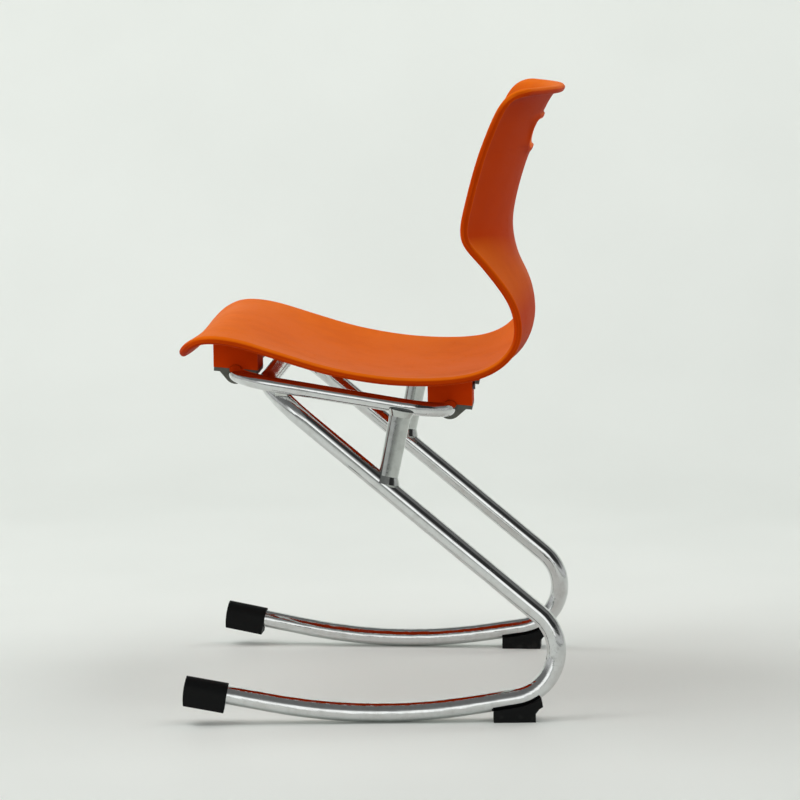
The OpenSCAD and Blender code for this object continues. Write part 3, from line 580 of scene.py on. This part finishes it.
# %% [markdown]
# ## Light
# Two big soft lamps hang high over the front and the rear of the chair, a weak one stands in front
# of it, and two that face away from the chair light the paper. The rear lamp lays the back's faint
# shadow on the seat. The side towards the camera gets little light, so the plastic there is deep,
# and the shell's painted shade on its sides makes it deeper still. The lamps themselves are kept
# out of view and out of the mirror reflections, and the world stands for the room in the chrome.

# %% Lamps
CHAIR_MIDDLE = (0.0, 0.0, 0.4)
PAPER_LEFT, PAPER_RIGHT = (-2.6, -0.4, 0.5), (-2.6, 0.4, 0.5)


def lamp(name, place, aim, width, height, power):
    """A rectangular soft lamp that points from its place to the aim."""
    data = bpy.data.lights.new(name, "AREA")
    data.shape = "RECTANGLE"
    data.size, data.size_y = width, height
    data.energy = power
    made = bpy.data.objects.new(name, data)
    made.location = place
    made.rotation_euler = (Vector(aim) - Vector(place)).to_track_quat("-Z", "Y").to_euler()
    made.visible_glossy = False
    made.visible_camera = False
    bpy.context.scene.collection.objects.link(made)
    return made


lamps = [
    lamp("high_front", (0.15, -1.5, 2.7), CHAIR_MIDDLE, 2.2, 2.2, 38),
    lamp("high_rear", (0.15, 1.3, 2.7), CHAIR_MIDDLE, 2.0, 2.0, 27),
    lamp("front", (0.9, -2.6, 1.3), CHAIR_MIDDLE, 1.0, 1.4, 8),
    lamp("wall_left", (-0.8, -1.9, 1.9), PAPER_LEFT, 1.0, 1.0, 6.8),
    lamp("wall_right", (-0.8, 1.9, 1.9), PAPER_RIGHT, 1.0, 1.0, 6.8)]
print("lamps:", {made.name: round(made.data.energy, 1) for made in lamps})

# %% [markdown]
# ## The room that the chrome mirrors
# Chrome shows what is around it, so the world isn't one flat white. Behind the camera it is white
# up to a low height and grey above, as a bright wall below a ceiling is. Towards the chair's rear
# it has a nearly black part, and elsewhere it is a soft grey with a pale horizon. That gives the
# tubes their white, grey and black bands. A ramp on the height sets each part, and the direction's
# X and Y choose between them. A noise makes the room a little uneven. Each stop of a ramp is the
# direction's Z, from -1 straight down to 1 straight up, and the level of grey there.

# %% World and its ramps
SKY_TINT = (0.98, 1.0, 0.985)
world = bpy.data.worlds.new("studio")
bpy.context.scene.world = world
world.use_nodes = True
sky = world.node_tree


def levels(source, stops):
    """A grey ramp with the levels of the stops."""
    ramp = add_node(sky, "ShaderNodeValToRGB", {0: source})
    while len(ramp.color_ramp.elements) < len(stops):
        ramp.color_ramp.elements.new(0.5)
    for element, (rise, level) in zip(ramp.color_ramp.elements, stops):
        element.position = (rise + 1) / 2
        element.color = (*(share * level for share in SKY_TINT), 1)
    return ramp.outputs[0]


def fade(source, low, high):
    """0 below the low end, 1 above the high end, and smooth between them."""
    sockets = {0: source, 1: low, 2: high}
    return add_node(sky, "ShaderNodeMapRange", sockets, interpolation_type="SMOOTHSTEP").outputs[0]


def choose(mask, first, second):
    """Mixes two parts of the room by a mask."""
    sockets = {MIX_MASK: mask, MIX_FIRST: first, MIX_SECOND: second}
    return add_node(sky, "ShaderNodeMix", sockets, data_type="RGBA").outputs[MIX_RESULT]


print("world:", world.name, "with", len(sky.nodes), "nodes so far")

# %% [markdown]
# Three ramps make the room: the wall behind the camera, the dark part towards the chair's rear, and
# the rest. The dark part lies on the camera's side of the rear, where the sloping tubes' upper
# sides mirror it as their black line.

# %% Parts of the room
CAMERA_WALL = (
    (-1.0, 0.5), (-0.12, 0.3), (-0.004, 0.18), (0.0, 1.3), (0.26, 1.3), (0.38, 0.55), (0.52, 0.22),
    (1.0, 0.18))
REAR_DARK = (
    (-1.0, 0.5), (-0.02, 0.56), (0.10, 0.56), (0.18, 0.07), (0.30, 0.035), (0.80, 0.035),
    (1.0, 0.20))
AROUND = ((-1.0, 0.5), (-0.02, 0.56), (0.13, 0.56), (0.34, 0.20), (0.80, 0.16), (1.0, 0.17))
ROOM_NOISE_SCALE, ROOM_DIM, ROOM_BRIGHT = 7.0, 0.96, 1.03

direction = add_node(sky, "ShaderNodeTexCoord").outputs["Generated"]
parts = add_node(sky, "ShaderNodeSeparateXYZ", {0: direction}).outputs
height = add_node(sky, "ShaderNodeMapRange", {0: parts["Z"], 1: -1.0, 2: 1.0}).outputs[0]
towards_camera = fade(parts["X"], 0.66, 0.92)
rear_and_near = {0: fade(parts["Y"], 0.34, 0.52), 1: fade(parts["X"], 0.10, 0.28)}
towards_rear = add_node(sky, "ShaderNodeMath", rear_and_near, operation="MULTIPLY").outputs[0]
room = choose(towards_camera, levels(height, AROUND), levels(height, CAMERA_WALL))
room = choose(towards_rear, room, levels(height, REAR_DARK))
room_noise = {"Vector": direction, "Scale": ROOM_NOISE_SCALE, "Detail": 3.0}
patches = add_node(sky, "ShaderNodeTexNoise", room_noise).outputs["Fac"]
brightness = {0: patches, 1: 0.35, 2: 0.65, 3: ROOM_DIM, 4: ROOM_BRIGHT}
uneven = add_node(sky, "ShaderNodeMapRange", brightness).outputs[0]
sky.links.new(room, sky.nodes["Background"].inputs["Color"])
sky.links.new(uneven, sky.nodes["Background"].inputs["Strength"])
print("world stops:", len(CAMERA_WALL), len(REAR_DARK), len(AROUND))
